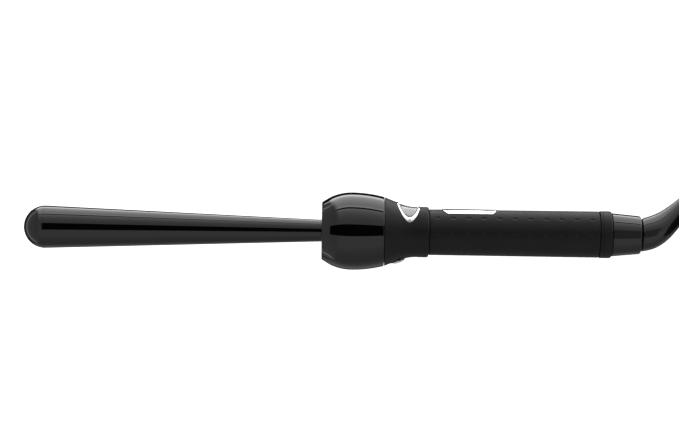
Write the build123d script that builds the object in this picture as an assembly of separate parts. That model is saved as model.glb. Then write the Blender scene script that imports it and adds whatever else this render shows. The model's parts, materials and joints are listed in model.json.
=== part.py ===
from build123d import *
from math import asin, atan2, cos, degrees, hypot, radians, sin, sqrt, tan
import os

# A clipless curling wand lying on its side, in millimetres. Every piece is drawn about the wand's own axis,
# X, with X = 0 at the heat guard's front face, the barrel towards -X and +Z through the switch. It is then laid
# down on the guard and the rear ring. The cord, coil and plug are drawn where they lie on the surface z = 0.

# Barrel: a reverse taper, widest at its domed tip
TIP_R = 12.5
ROOT_R = 6.4
TIP_CENTRE_X = -162.7
BARREL_WALL = 1.2
BARREL_END_X = 19.0

# Heat guard: a bulb of two arcs that meet at its widest point
GUARD_FACE_R = 16.9
GUARD_CREASE = (4.8, 19.8)
GUARD_CROWN = (17.65, 22.76)
GUARD_REAR = (36.5, 20.35)
GUARD_WALL = 2.0
GUARD_HOLE_R = 6.8
SOCKET_BOLT_R = 12.0
SCREW_R = 1.2

# Collar: a cone, a hollow flare and a bead
COLLAR_START_X = 36.9
COLLAR_START_R = 20.2
COLLAR_SLOPE = 0.40
FLARE_R = 28.5
NECK_X = 56.0
BEAD_R = 14.85
BEAD_END_X = 62.8
SPIGOT_X = 33.0
SPIGOT_R = 18.2

# Switch: parabolas seen from the side, x^2 = width * (z - foot), about SWITCH_X
SWITCH_X = 51.2
BEZEL_WIDTH, BEZEL_FOOT = 4.82, 5.65
ROCKER_WIDTH, ROCKER_FOOT = 4.2, 9.36
OPENING_FOOT = 8.33
BEZEL_PROUD, BEZEL_DEPTH = 0.3, 1.3
ROCKER_SINK, ROCKER_WALL = 0.15, 1.8
PIVOT_Z = 5.0
ROCKER_PIN_R = 1.0
ROCKER_TRAVEL = 5.0

# Mode button under the collar, square to the cone, and its switch
BUTTON_X = 45.4
BUTTON_R = 3.4
BUTTON_PROUD = 1.4
BUTTON_RING_R = 4.7

# Handle, grip and badge
HANDLE_R, HANDLE_BORE_R = 12.0, 10.3
HANDLE_START_X, HANDLE_SHOULDER_X, HANDLE_END_X = 57.4, 170.2, 176.0
HANDLE_TAIL_R, HANDLE_TAIL_BORE_R = 10.4, 9.0
GRIP_START_X, GRIP_END_X = 63.0, 162.7
GRIP_FRONT_R, GRIP_REAR_R = 13.45, 13.6
GRIP_BORE_R = 12.05
HANDLE_SCREW_XS = (78.0, 118.0, 150.0)
HANDLE_SCREW_Z = -6.4
BADGE_START_X, BADGE_END_X = 70.4, 103.0
BADGE_HALF_WIDTH, BADGE_BOW = 8.0, 3.2
BADGE_R = 13.75
BADGE_GAP = 0.25

# Rear ring, end cap and cord swivel
RING_START_X, RING_END_X = 163.0, 170.0
RING_R, RING_ROUND = 13.82, 1.2
CAP_START_X, CAP_END_X = 170.4, 187.4
CAP_FRONT_R, CAP_REAR_R, CAP_ROUND = 12.7, 11.1, 1.3
SPINDLE_R, SPINDLE_BORE_R = 4.25, 2.6
SPINDLE_START_X, SPINDLE_END_X = 157.5, 194.0
BEARING_BORE_R = 4.3
SLIP_RING_XS = (159.0, 164.0)
SLIP_RING_WIDTH, SLIP_RING_R = 2.5, 5.15
BRUSH_HOLDER_BORE_R = 6.6

# Strain-relief boot: a curve from the end cap to the cord, and its radius along that curve
BOOT_CURVE = [(188.1, 0, 0), (199.4, 0.3, 1.9), (209.6, 5.36, 13.2), (217.3, 5.5, 22.2)]
BOOT_RADII = [(0, 9.6), (0.14, 9.5), (0.28, 8.9), (0.5, 7.35), (0.68, 6.2), (0.84, 5.2), (1, 4.25)]

# Heater inside the barrel
HEATER_FRONT_X, HEATER_REAR_X = -150.0, -60.0
HEATER_HALF_THICK, HEATER_HALF_WIDTH = 1.3, 5.5
CLIP_XS = (-146.0, -68.0)
CLIP_WIDTH, CLIP_THICK = 3.0, 0.8
LEAD_Y, SENSOR_Y, WIRE_Z = 1.7, 3.9, -0.2
LEAD_R, SENSOR_LEAD_R, SENSOR_R = 0.8, 0.4, 1.2

# Control board
BOARD_TOP_Z, BOARD_THICK, BOARD_HALF_WIDTH = -1.0, 1.6, 8.5
BOARD_START_X, BOARD_END_X = 34.0, 106.0

# Cord on the surface: where it runs, its coil and its plug
CORD_R = 3.25
LEAD_ROUTE = [(207.1, 22.2, 5.4), (215.4, 32.2, 5.0), (227.2, 37.7, 4.5), (240.0, 37.7, 4.25)]
TAIL_ROUTE = [(236.6, 37.7, 23.75), (246.0, 37.7, 23.75), (253.9, 37.4, 25.0), (261.5, 36.8, 27.5),
              (268.7, 35.8, 30.9), (276.3, 34.5, 33.1), (284.1, 33.2, 34.05)]
COIL_CENTRE = (271.75, 5.7)
COIL_LIFT = 1.0
COIL_RUN, COIL_INNER_R, COIL_OUTER_R, COIL_HEIGHT = 53.5, 17.35, 35.25, 26.0
TIE_ANGLE, TIE_WIDTH, TIE_THICK = 270.0, 14.0, 0.9
PLUG_HEADING = -8.0
PLUG_WIDTH, PLUG_HEIGHT, PLUG_LENGTH = 24.0, 14.0, 26.0
PLUG_NECK_R, PLUG_NECK_LENGTH = 4.5, 12.0
BLADE_LENGTH, BLADE_WIDTH, BLADE_THICK, BLADE_SPACING = 15.9, 6.35, 1.5, 12.7


# ---- shapes ----

def turned(*edges):
    """A solid of revolution about X, from the edges of its closed half section drawn as (x, radius)."""
    return revolve(make_face(Curve() + list(edges)), Axis.X)


def turned_polygon(*points):
    return revolve(make_face(Polyline(*points, close=True)), Axis.X)


def ring(start, end, bore, radius):
    return turned_polygon((start, bore), (end, bore), (end, radius), (start, radius))


def rod(start, end, radius, y=0.0, z=0.0):
    """A round bar parallel to X."""
    return Pos(start, y, z) * Cylinder(radius, end - start, rotation=(0, 90, 0), align=FROM_BOTTOM)


def crossbar(x, z, start, end, radius):
    """A round bar parallel to Y."""
    return Pos(x, end, z) * Cylinder(radius, end - start, rotation=(90, 0, 0), align=FROM_BOTTOM)


def block(low, high):
    size = [b - a for a, b in zip(low, high)]
    middle = [(a + b) / 2 for a, b in zip(low, high)]
    return Pos(*middle) * Box(*size)


def crown_radius(x, rear_radius, crown):
    """The height at x of an arc of that radius whose highest point is the crown."""
    return crown[1] - rear_radius + sqrt(rear_radius**2 - (x - crown[0]) ** 2)


def arc_radius(crown, foot):
    """The radius of the arc that is level at the crown and passes through the foot."""
    run, drop = foot[0] - crown[0], crown[1] - foot[1]
    return (run**2 + drop**2) / (2 * drop)


def crown_arc(crown, foot):
    radius = arc_radius(crown, foot)
    middle_x = (crown[0] + foot[0]) / 2
    return ThreePointArc(foot, (middle_x, crown_radius(middle_x, radius, crown)), crown)


def parabola_prism(width, foot, top=24.0):
    """Everything over the parabola (x - SWITCH_X)^2 = width * (z - foot), along Y."""
    half = sqrt(width * (top - foot))
    curve = Bezier((SWITCH_X - half, top), (SWITCH_X, 2 * foot - top), (SWITCH_X + half, top))
    return extrude(Plane.XZ * make_face(curve + Line(curve @ 1, curve @ 0)), amount=30, both=True)


FROM_BOTTOM = (Align.CENTER, Align.CENTER, Align.MIN)


# ---- barrel and heater ----

def bore_radius(x):
    """The barrel's inner radius at x, in its tapered part."""
    return (ROOT_R + (TIP_R - ROOT_R) * x / TIP_CENTRE_X) - BARREL_WALL


def barrel_tube():
    groove = ring(16.2, 17.0, ROOT_R - 0.5, ROOT_R + 1)
    root_bore = ROOT_R - BARREL_WALL
    tube = turned_polygon(
        (TIP_CENTRE_X, bore_radius(TIP_CENTRE_X)), (TIP_CENTRE_X, TIP_R), (0, ROOT_R),
        (BARREL_END_X, ROOT_R), (BARREL_END_X, root_bore), (0, root_bore))
    return tube - groove


def barrel_tip_cap():
    dome = Pos(TIP_CENTRE_X, 0, 0) * Sphere(TIP_R) - block((TIP_CENTRE_X, -20, -20), (0, 20, 20))
    spigot_end = TIP_CENTRE_X + 5
    spigot = turned_polygon(
        (TIP_CENTRE_X, 0), (TIP_CENTRE_X, bore_radius(TIP_CENTRE_X) - 0.05),
        (spigot_end, bore_radius(spigot_end) - 0.05), (spigot_end, 0))
    return dome + spigot - Pos(TIP_CENTRE_X, 0, 0) * Sphere(TIP_R - 2.2) - rod(TIP_CENTRE_X, -150, 9.6)


def spreader_body():
    front, rear = HEATER_FRONT_X, HEATER_REAR_X
    body = turned_polygon(
        (front, 0), (front, bore_radius(front) - 0.1), (rear, bore_radius(rear) - 0.1), (rear, 0))
    for x in CLIP_XS:
        body -= ring(x, x + CLIP_WIDTH, clip_radius(x) - CLIP_THICK, TIP_R)
    return body


def clip_radius(x):
    """The outside of a spring clip that starts at x: it clears the bore along its whole width."""
    return bore_radius(x + CLIP_WIDTH) - 0.2


def heat_spreader(side):
    """One half of the aluminium core, above the heater plate (side 1) or below it (side -1)."""
    edge = side * (HEATER_HALF_THICK + 0.05)
    low, high = sorted((edge, side * 20))
    return spreader_body() & block((HEATER_FRONT_X - 1, -20, low), (HEATER_REAR_X + 1, 20, high))


def ptc_heater():
    return block((-148, -HEATER_HALF_WIDTH, -HEATER_HALF_THICK), (-62, HEATER_HALF_WIDTH, HEATER_HALF_THICK))


def spring_clips():
    """Two open steel rings that squeeze the spreader halves on to the heater."""
    clips = []
    for x in CLIP_XS:
        hoop = ring(x, x + CLIP_WIDTH, clip_radius(x) - CLIP_THICK, clip_radius(x))
        clips.append(hoop - block((x - 1, 0, -3), (x + CLIP_WIDTH + 1, 20, 3)))
    return clips


def heater_leads():
    """The live lead is broken by the thermal fuse; the neutral one is whole."""
    end = BOARD_START_X + 5
    spans = [(-62, -50, LEAD_Y), (-40, end, LEAD_Y), (-62, end, -LEAD_Y)]
    return [rod(start, stop, LEAD_R, y, WIRE_Z) for start, stop, y in spans]


def thermal_fuse():
    return rod(-50, -40, 1.5, LEAD_Y, WIRE_Z)


def temperature_sensor():
    return rod(-58, -54, SENSOR_R, SENSOR_Y, WIRE_Z)


def sensor_leads():
    end = BOARD_START_X + 4
    return [rod(-54, end, SENSOR_LEAD_R, SENSOR_Y, WIRE_Z - 0.4), rod(-54, end, SENSOR_LEAD_R, SENSOR_Y, 0.7)]


# ---- guard and barrel mounting ----

def guard_bosses(radius, start, end):
    return [Rot(angle, 0, 0) * rod(start, end, radius, 0, SOCKET_BOLT_R) for angle in (60, 180, 300)]


def guard_shell():
    face_x = GUARD_WALL
    inner_crown = (GUARD_CROWN[0], GUARD_CROWN[1] - GUARD_WALL)
    inner_front = (GUARD_CREASE[0] + 0.9, GUARD_CREASE[1] - 1.75)
    inner_rear = (GUARD_REAR[0], GUARD_REAR[1] - GUARD_WALL)
    shell = turned(
        Line((face_x, GUARD_HOLE_R), (0, GUARD_HOLE_R)),
        Line((0, GUARD_HOLE_R), (0, GUARD_FACE_R)),
        Line((0, GUARD_FACE_R), GUARD_CREASE),
        crown_arc(GUARD_CROWN, GUARD_CREASE),
        crown_arc(GUARD_CROWN, GUARD_REAR),
        Line(GUARD_REAR, inner_rear),
        crown_arc(inner_crown, inner_rear),
        crown_arc(inner_crown, inner_front),
        Line(inner_front, (face_x, GUARD_FACE_R - 1.2)),
        Line((face_x, GUARD_FACE_R - 1.2), (face_x, GUARD_HOLE_R)))
    for boss in guard_bosses(2.6, face_x - 0.5, 5.0):
        shell += boss
    for hole in guard_bosses(SCREW_R, 3.0, 5.0):
        shell -= hole
    return shell


def barrel_socket():
    """The heat-resistant bush that holds the barrel's root, screwed to the guard from inside."""
    bush = turned_polygon((5.05, 6.45), (5.05, 15.0), (7.55, 15.0), (7.55, 9.5), (16.0, 9.5), (16.0, 6.45))
    for hole in guard_bosses(SCREW_R + 0.2, 5.0, 8.0):
        bush -= hole
    return bush


def socket_screws():
    heads = guard_bosses(2.2, 7.6, 9.2)
    shanks = guard_bosses(SCREW_R, 3.0, 7.6)
    return [head + shank for head, shank in zip(heads, shanks)]


def barrel_retainer():
    """A circlip in the barrel's groove, behind the socket."""
    return ring(16.25, 16.95, ROOT_R - 0.45, 8.8) - block((16, -1.6, 3), (18, 1.6, 12))


def heat_shield_disc():
    return ring(SPIGOT_X - 0.8, SPIGOT_X, 4.8, 18.7)


# ---- collar and switches ----

def collar_skin(offset, start=None, end=60.0):
    """The edges of the collar's outline moved out by an offset, from x = start to x = end."""
    lean = degrees(atan2(COLLAR_SLOPE, 1))
    centre = (NECK_X, FLARE_R + neck_radius())
    radius = FLARE_R - offset

    def on_arc(angle):
        return (centre[0] - radius * sin(radians(angle)), centre[1] - radius * cos(radians(angle)))

    first_x = COLLAR_START_X if start is None else start
    first = (first_x, on_arc(lean)[1] + COLLAR_SLOPE * (on_arc(lean)[0] - first_x))
    return [Line(first, on_arc(lean)), ThreePointArc(on_arc(lean), on_arc(lean / 2), on_arc(0)),
            Line(on_arc(0), (end, on_arc(0)[1]))]


def neck_radius():
    """The collar's smallest radius, where the flare runs out level."""
    lean = atan2(COLLAR_SLOPE, 1)
    flare_start_x = NECK_X - FLARE_R * sin(lean)
    flare_start_r = COLLAR_START_R - COLLAR_SLOPE * (flare_start_x - COLLAR_START_X)
    return flare_start_r - FLARE_R * (1 - cos(lean))


def collar_band(inner_offset, outer_offset):
    """A shell that follows the collar's outline between two offsets."""
    inner, outer = collar_skin(inner_offset, 40.0), collar_skin(outer_offset, 40.0)
    return turned(*outer, *inner, Line(outer[0] @ 0, inner[0] @ 0), Line(outer[-1] @ 1, inner[-1] @ 1))


def collar_shell():
    outline = collar_skin(0, end=NECK_X + 0.5)
    neck = outline[-1] @ 1
    shell = turned(
        *outline,
        Polyline((neck.X, neck.Y), (NECK_X + 0.6, BEAD_R), (BEAD_END_X - 1.3, BEAD_R)),
        RadiusArc((BEAD_END_X - 1.3, BEAD_R), (BEAD_END_X, BEAD_R - 1.3), 1.3),
        Polyline((BEAD_END_X, BEAD_R - 1.3), (BEAD_END_X, GRIP_BORE_R), (HANDLE_START_X, GRIP_BORE_R),
                 (NECK_X, 12.6), (45.4, 14.75), (38.0, 16.6), (SPIGOT_X, 16.6), (SPIGOT_X, SPIGOT_R),
                 (COLLAR_START_X, SPIGOT_R), (COLLAR_START_X, COLLAR_START_R)))
    seat = collar_band(-BEZEL_DEPTH - 0.05, 6) & parabola_prism(BEZEL_WIDTH, BEZEL_FOOT - 0.05)
    hole = parabola_prism(ROCKER_WIDTH, OPENING_FOOT)
    button_hole = button_frame() * Cylinder(BUTTON_RING_R + 0.05, 12)
    return shell - seat - hole - button_hole


def switch_bezel():
    band = collar_band(-BEZEL_DEPTH, BEZEL_PROUD) & parabola_prism(BEZEL_WIDTH, BEZEL_FOOT)
    lens_hole = lens_frame() * Cylinder(0.85, 6)
    return band - parabola_prism(ROCKER_WIDTH, OPENING_FOOT) - lens_hole


def lens_frame():
    """The indicator sits in the bezel's lower tip, facing out of the collar."""
    return Location((SWITCH_X, -13.5, 7.0), (90 - 27.0, 0, 0))


def indicator_lens():
    pin = lens_frame() * Cylinder(0.8, 6)
    return pin & collar_band(-BEZEL_DEPTH, BEZEL_PROUD + 0.1)


def pivot_location(angle):
    """A turn about the rocker's pin."""
    return Pos(0, 0, PIVOT_Z) * Rot(angle, 0, 0) * Pos(0, 0, -PIVOT_Z)


def rocker_button():
    """The saddle-shaped rocker, tipped to the -Y side of its travel."""
    cap = collar_band(-ROCKER_SINK - ROCKER_WALL, -ROCKER_SINK) & parabola_prism(ROCKER_WIDTH, ROCKER_FOOT)
    stem = block((47.4, -3.2, PIVOT_Z - 2.2), (55.0, 3.2, 14.0)) & rod(40, 60, 13.0)
    rocker = cap + stem - rod(40, 62, ROCKER_PIN_R + 0.06, 0, PIVOT_Z)
    return pivot_location(ROCKER_TRAVEL / 2) * rocker


def rocker_pin():
    return rod(43.8, 58.6, ROCKER_PIN_R, 0, PIVOT_Z)


def switch_body():
    """A carrier on the control board with an ear at each end of the rocker's pin."""
    carrier = block((43.5, -6.0, BOARD_TOP_Z), (58.9, 6.0, 1.6))
    for low_x, high_x in ((43.5, 46.4), (56.0, 58.9)):
        carrier += block((low_x, -3.2, 1.0), (high_x, 3.2, PIVOT_Z + 2.2))
    return carrier - rod(43, 60, ROCKER_PIN_R + 0.02, 0, PIVOT_Z)


def button_frame():
    """Centred on the collar's surface under the wand, with its Z axis pointing out."""
    surface_r = COLLAR_START_R - COLLAR_SLOPE * (BUTTON_X - COLLAR_START_X)
    return Location((BUTTON_X, 0, -surface_r)) * Rot(0, 180 - degrees(atan2(COLLAR_SLOPE, 1)), 0)


def upright(low, high, radius):
    """A cylinder on Z from low to high."""
    return Pos(0, 0, low) * Cylinder(radius, high - low, align=FROM_BOTTOM)


def mode_button():
    head = upright(-3.2, BUTTON_PROUD, BUTTON_R)
    head = fillet(head.edges().sort_by(Axis.Z)[-1], 0.5)
    return button_frame() * (head + upright(-3.9, -3.1, BUTTON_R + 0.6) + upright(-8.4, -3.8, 1.2))


def mode_button_ring():
    return button_frame() * (upright(-2.4, 0.35, BUTTON_RING_R) - upright(-3, 1, BUTTON_R + 0.3))


def tact_switch():
    return button_frame() * (Pos(0, 0, -11.3) * Box(6, 6, 3.4) + upright(-9.8, -9.3, 1.6))


# ---- handle ----

def handle_tube():
    return turned_polygon(
        (HANDLE_START_X, HANDLE_BORE_R), (HANDLE_START_X, HANDLE_R), (HANDLE_SHOULDER_X, HANDLE_R),
        (HANDLE_SHOULDER_X, HANDLE_TAIL_R), (HANDLE_END_X, HANDLE_TAIL_R), (HANDLE_END_X, HANDLE_TAIL_BORE_R),
        (HANDLE_SHOULDER_X, HANDLE_TAIL_BORE_R), (HANDLE_SHOULDER_X - 2, HANDLE_BORE_R))


def handle_half(side):
    """Half of the handle's inner tube, on the -Y side (-1) or the +Y side (1), with its screw bosses."""
    low, high = sorted((0, side * 20))
    tube = handle_tube()
    for x in HANDLE_SCREW_XS:
        tube += crossbar(x, HANDLE_SCREW_Z, -10, 10, 2.4) & rod(60, 165, HANDLE_R)
    half = tube & block((HANDLE_START_X - 1, low, -20), (HANDLE_END_X + 1, high, 20))
    for x in HANDLE_SCREW_XS:
        half -= crossbar(x, HANDLE_SCREW_Z, -14, -7, 2.1) + crossbar(x, HANDLE_SCREW_Z, -8, 6, SCREW_R)
    return half


def handle_screws():
    return [crossbar(x, HANDLE_SCREW_Z, -8.4, -7, 2.0) + crossbar(x, HANDLE_SCREW_Z, -7.5, 6, SCREW_R)
            for x in HANDLE_SCREW_XS]


def badge_prism(margin=0.0):
    """The badge's outline seen from above, drawn out along Z."""
    half, bow = BADGE_HALF_WIDTH + margin, BADGE_BOW
    start, end = BADGE_START_X - margin, BADGE_END_X + margin
    left, right = start + bow, end - bow
    outline = Curve() + [
        ThreePointArc((left, -half), (start, 0), (left, half)), Line((left, half), (right, half)),
        ThreePointArc((right, half), (end, 0), (right, -half)), Line((right, -half), (left, -half))]
    return extrude(make_face(outline), amount=20)


def grip_sleeve():
    sleeve = turned_polygon(
        (GRIP_START_X, GRIP_BORE_R), (GRIP_START_X, GRIP_FRONT_R - 0.4), (GRIP_START_X + 0.4, GRIP_FRONT_R),
        (GRIP_END_X - 0.4, GRIP_REAR_R), (GRIP_END_X, GRIP_REAR_R - 0.4), (GRIP_END_X, GRIP_BORE_R))
    return sleeve - badge_prism(BADGE_GAP)


def badge_plate():
    return ring(BADGE_START_X - 1, BADGE_END_X + 1, GRIP_BORE_R, BADGE_R) & badge_prism()


def rear_ring():
    band = ring(RING_START_X, RING_END_X, GRIP_BORE_R, RING_R)
    return fillet(band.edges().filter_by(GeomType.CIRCLE).group_by(SortBy.RADIUS)[-1], RING_ROUND)


def end_cap():
    rear_r = CAP_REAR_R + (CAP_FRONT_R - CAP_REAR_R) * CAP_ROUND / (CAP_END_X - CAP_START_X)
    round_start = (CAP_END_X - CAP_ROUND, rear_r)
    round_end = (CAP_END_X, rear_r - CAP_ROUND)
    return turned(
        Line((CAP_START_X, CAP_FRONT_R), round_start),
        RadiusArc(round_start, round_end, CAP_ROUND),
        Polyline(round_end, (CAP_END_X, 5.0), (185.4, 5.0), (185.4, 9.35), (176.2, 9.55), (176.2, 10.45),
                 (CAP_START_X, 10.45), (CAP_START_X, CAP_FRONT_R)))


# ---- control board ----

def control_board():
    return block((BOARD_START_X, -BOARD_HALF_WIDTH, BOARD_TOP_Z - BOARD_THICK),
                 (BOARD_END_X, BOARD_HALF_WIDTH, BOARD_TOP_Z))


def triac():
    return block((64, -5, BOARD_TOP_Z), (74, 5, BOARD_TOP_Z + 4.4))


def dropper_capacitor():
    return block((78, -6.0, BOARD_TOP_Z), (94, 2.0, BOARD_TOP_Z + 7))


def board_fuse():
    return rod(79, 93, 1.6, 4.8, BOARD_TOP_Z + 1.7)


def mains_leads():
    return [rod(BOARD_END_X - 4, SPINDLE_START_X - 0.6, LEAD_R, y, WIRE_Z) for y in (-4.0, 4.0)]


# ---- cord swivel ----

def slip_ring(start):
    return ring(start, start + SLIP_RING_WIDTH, SPINDLE_R, SLIP_RING_R)


def brush_holder():
    return ring(SPINDLE_START_X - 0.5, HANDLE_SHOULDER_X - 3, BRUSH_HOLDER_BORE_R, HANDLE_BORE_R - 0.1)


def contact_brush(start, side):
    """A brass strip inside the holder that rubs on one slip ring."""
    strip = ring(start, start + SLIP_RING_WIDTH, SLIP_RING_R + 0.2, BRUSH_HOLDER_BORE_R)
    low, high = sorted((side * 3.5, side * 10))
    return strip & block((start - 1, low, -6), (start + 4, high, 6))


def contact_brushes():
    return [contact_brush(SLIP_RING_XS[0], 1), contact_brush(SLIP_RING_XS[1], -1)]


def swivel_bearing():
    return turned_polygon((171.4, BEARING_BORE_R), (171.4, 8.9), (176.1, 8.9), (176.1, 9.2), (185.2, 9.2),
                          (185.2, BEARING_BORE_R))


def swivel_spindle():
    tube = ring(SPINDLE_START_X, SPINDLE_END_X, SPINDLE_BORE_R, SPINDLE_R)
    return tube + ring(169.0, 170.5, SPINDLE_BORE_R, 6.4)


def thrust_washer():
    return ring(170.55, 171.05, BEARING_BORE_R + 0.1, 7.5)


def strain_relief_boot():
    curve = Bezier(*BOOT_CURVE)
    sections = []
    for along, radius in BOOT_RADII:
        tangent = Vector(1, 0, 0) if along == 0 else curve % along
        sections.append(Plane(curve @ along, z_dir=tangent) * Circle(radius))
    socket = ring(188.0, SPINDLE_END_X, 0, SPINDLE_R)
    return loft(sections) - socket


# ---- cord, coil and plug, on the surface ----

def corner_radii(route):
    """The largest arc that each corner's two runs leave room for."""
    radii = []
    for before, corner, after in zip(route, route[1:], route[2:]):
        into, out = Vector(corner) - Vector(before), Vector(after) - Vector(corner)
        half_turn = radians(into.get_angle(out)) / 2
        radii.append(0.45 * min(into.length, out.length) / tan(half_turn))
    return radii


def cord_tube(name, route):
    radii = corner_radii(route)
    path = FilletPolyline(*route, radius=radii)
    tube = sweep(Plane(path @ 0, z_dir=path % 0) * Circle(CORD_R), path=path)
    print(name, "radii", [round(r, 1) for r in radii], "length", round(path.length, 1),
          "volume", round(tube.volume / (3.14159265 * CORD_R**2 * path.length), 4))
    return tube


def cord_coil():
    """Oval turns: two straight runs joined by a fold at each end."""
    outline = SlotCenterToCenter(COIL_RUN, 2 * COIL_OUTER_R) - SlotCenterToCenter(COIL_RUN, 2 * COIL_INNER_R)
    body = extrude(outline, COIL_HEIGHT)
    body = fillet(body.edges() - body.edges().filter_by(Axis.Z), CORD_R)
    return Pos(*COIL_CENTRE, COIL_LIFT) * body


def cord_tie():
    """A strap round the bundle of turns."""
    width, height = COIL_OUTER_R - COIL_INNER_R + 0.2, COIL_HEIGHT + 0.2
    outer = RectangleRounded(width + 2 * TIE_THICK, height + 2 * TIE_THICK, CORD_R + TIE_THICK)
    strap = extrude(Plane.XZ * (outer - RectangleRounded(width, height, CORD_R)), amount=TIE_WIDTH / 2, both=True)
    middle = (COIL_OUTER_R + COIL_INNER_R) / 2
    spot = Pos(*COIL_CENTRE, COIL_LIFT + COIL_HEIGHT / 2) * Rot(0, 0, TIE_ANGLE) * Pos(middle, 0, 0)
    return spot * strap


def plug_place():
    """The plug's cord end, with -Y towards its blades."""
    return Pos(*TAIL_ROUTE[-1]) * Rot(0, 0, PLUG_HEADING + 90)


def plug_body():
    body = Pos(0, -PLUG_NECK_LENGTH - PLUG_LENGTH / 2, 0) * Box(PLUG_WIDTH, PLUG_LENGTH, PLUG_HEIGHT)
    body = fillet(body.edges().filter_by(Axis.Y), 4.0)
    body = chamfer(body.faces().sort_by(Axis.Y)[-1].edges(), 3.0)
    neck = Pos(0, -PLUG_NECK_LENGTH - 1, 0) * Cone(PLUG_NECK_R + 1, PLUG_NECK_R, PLUG_NECK_LENGTH + 1,
                                                   rotation=(-90, 0, 0), align=FROM_BOTTOM)
    slots = [block((x - BLADE_THICK / 2, -PLUG_NECK_LENGTH - PLUG_LENGTH - 1, -BLADE_WIDTH / 2),
                   (x + BLADE_THICK / 2, -PLUG_NECK_LENGTH - PLUG_LENGTH + 8, BLADE_WIDTH / 2))
             for x in (-BLADE_SPACING / 2, BLADE_SPACING / 2)]
    return plug_place() * (body + neck - slots)


def plug_blades():
    face_y = -PLUG_NECK_LENGTH - PLUG_LENGTH
    blades = []
    for x in (-BLADE_SPACING / 2, BLADE_SPACING / 2):
        blade = block((x - BLADE_THICK / 2, face_y - BLADE_LENGTH, -BLADE_WIDTH / 2),
                      (x + BLADE_THICK / 2, face_y + 8, BLADE_WIDTH / 2))
        blades.append(plug_place() * chamfer(blade.edges().group_by(Axis.Y)[0], 0.5))
    return blades


# ---- laying the wand down ----

def lying_angle():
    """The tilt at which the guard's rear arc and the rear ring's rounded edge touch one surface."""
    rear_r = arc_radius(GUARD_CROWN, GUARD_REAR)
    run = RING_END_X - RING_ROUND - GUARD_CROWN[0]
    drop = rear_r - GUARD_CROWN[1] + RING_R - RING_ROUND
    return degrees(asin((rear_r - RING_ROUND) / hypot(run, drop)) - atan2(drop, run))


def lay_down(pieces):
    """Roll the switch to +Y, tilt the tip up, and put the box's bottom centre at the origin."""
    turn = Rot(0, lying_angle(), 0) * Rot(-90, 0, 0)
    box = Compound([turn * solid for solids in pieces.values() for solid in solids]).bounding_box()
    middle = box.center()
    return Pos(-middle.X, -middle.Y, -box.min.Z) * turn


def solids_of(shape):
    return [s for item in (shape if isinstance(shape, list) else [shape]) for s in item.solids()]


wand = {
    "barrel_tube": barrel_tube(), "barrel_tip_cap": barrel_tip_cap(),
    "heat_spreader_upper": heat_spreader(1), "heat_spreader_lower": heat_spreader(-1),
    "ptc_heater": ptc_heater(), "spring_clips": spring_clips(), "heater_leads": heater_leads(),
    "thermal_fuse": thermal_fuse(), "temperature_sensor": temperature_sensor(), "sensor_leads": sensor_leads(),
    "guard_shell": guard_shell(), "barrel_socket": barrel_socket(), "socket_screws": socket_screws(),
    "barrel_retainer": barrel_retainer(), "heat_shield_disc": heat_shield_disc(),
    "collar_shell": collar_shell(), "switch_bezel": switch_bezel(), "indicator_lens": indicator_lens(),
    "rocker_button": rocker_button(), "rocker_pin": rocker_pin(), "switch_body": switch_body(),
    "mode_button": mode_button(), "mode_button_ring": mode_button_ring(), "tact_switch": tact_switch(),
    "handle_half_left": handle_half(-1), "handle_half_right": handle_half(1), "handle_screws": handle_screws(),
    "grip_sleeve": grip_sleeve(), "badge_plate": badge_plate(), "rear_ring": rear_ring(), "end_cap": end_cap(),
    "control_board": control_board(), "triac": triac(), "dropper_capacitor": dropper_capacitor(),
    "board_fuse": board_fuse(), "mains_leads": mains_leads(), "brush_holder": brush_holder(),
    "contact_brushes": contact_brushes(), "swivel_bearing": swivel_bearing(), "swivel_spindle": swivel_spindle(),
    "live_slip_ring": slip_ring(SLIP_RING_XS[0]), "neutral_slip_ring": slip_ring(SLIP_RING_XS[1]),
    "thrust_washer": thrust_washer(),
}
wand = {name: solids_of(shape) for name, shape in wand.items()}
place = lay_down(wand)
nodes = {name: [place * solid for solid in solids] for name, solids in wand.items()}
nodes["strain_relief_boot"] = [place * solid for solid in solids_of(strain_relief_boot())]
nodes["cord_lead"] = solids_of(cord_tube("cord_lead", LEAD_ROUTE))
nodes["cord_tail"] = solids_of(cord_tube("cord_tail", TAIL_ROUTE))
nodes["cord_coil"] = solids_of(cord_coil())
nodes["cord_tie"] = solids_of(cord_tie())
nodes["plug_body"] = solids_of(plug_body())
nodes["plug_blades"] = solids_of(plug_blades())

os.makedirs("parts", exist_ok=True)
for name, solids in nodes.items():
    export_step(solids[0] if len(solids) == 1 else Compound(solids), f"parts/{name}.step")

for label, point in (("boot end", BOOT_CURVE[-1]), ("rocker pin", (SWITCH_X, 0, PIVOT_Z)),
                     ("button", tuple(button_frame().position)), ("swivel", (CAP_END_X, 0, 0))):
    print(label, [round(v, 3) for v in (place * Pos(*point)).position])
print("tilt", round(lying_angle(), 4))
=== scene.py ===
import json
from math import acos, asin, atan, atan2, copysign, cos, degrees, exp, hypot, pi, radians, sin, sqrt, tan

import bmesh
import bpy
from mathutils import Matrix, Vector


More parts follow.
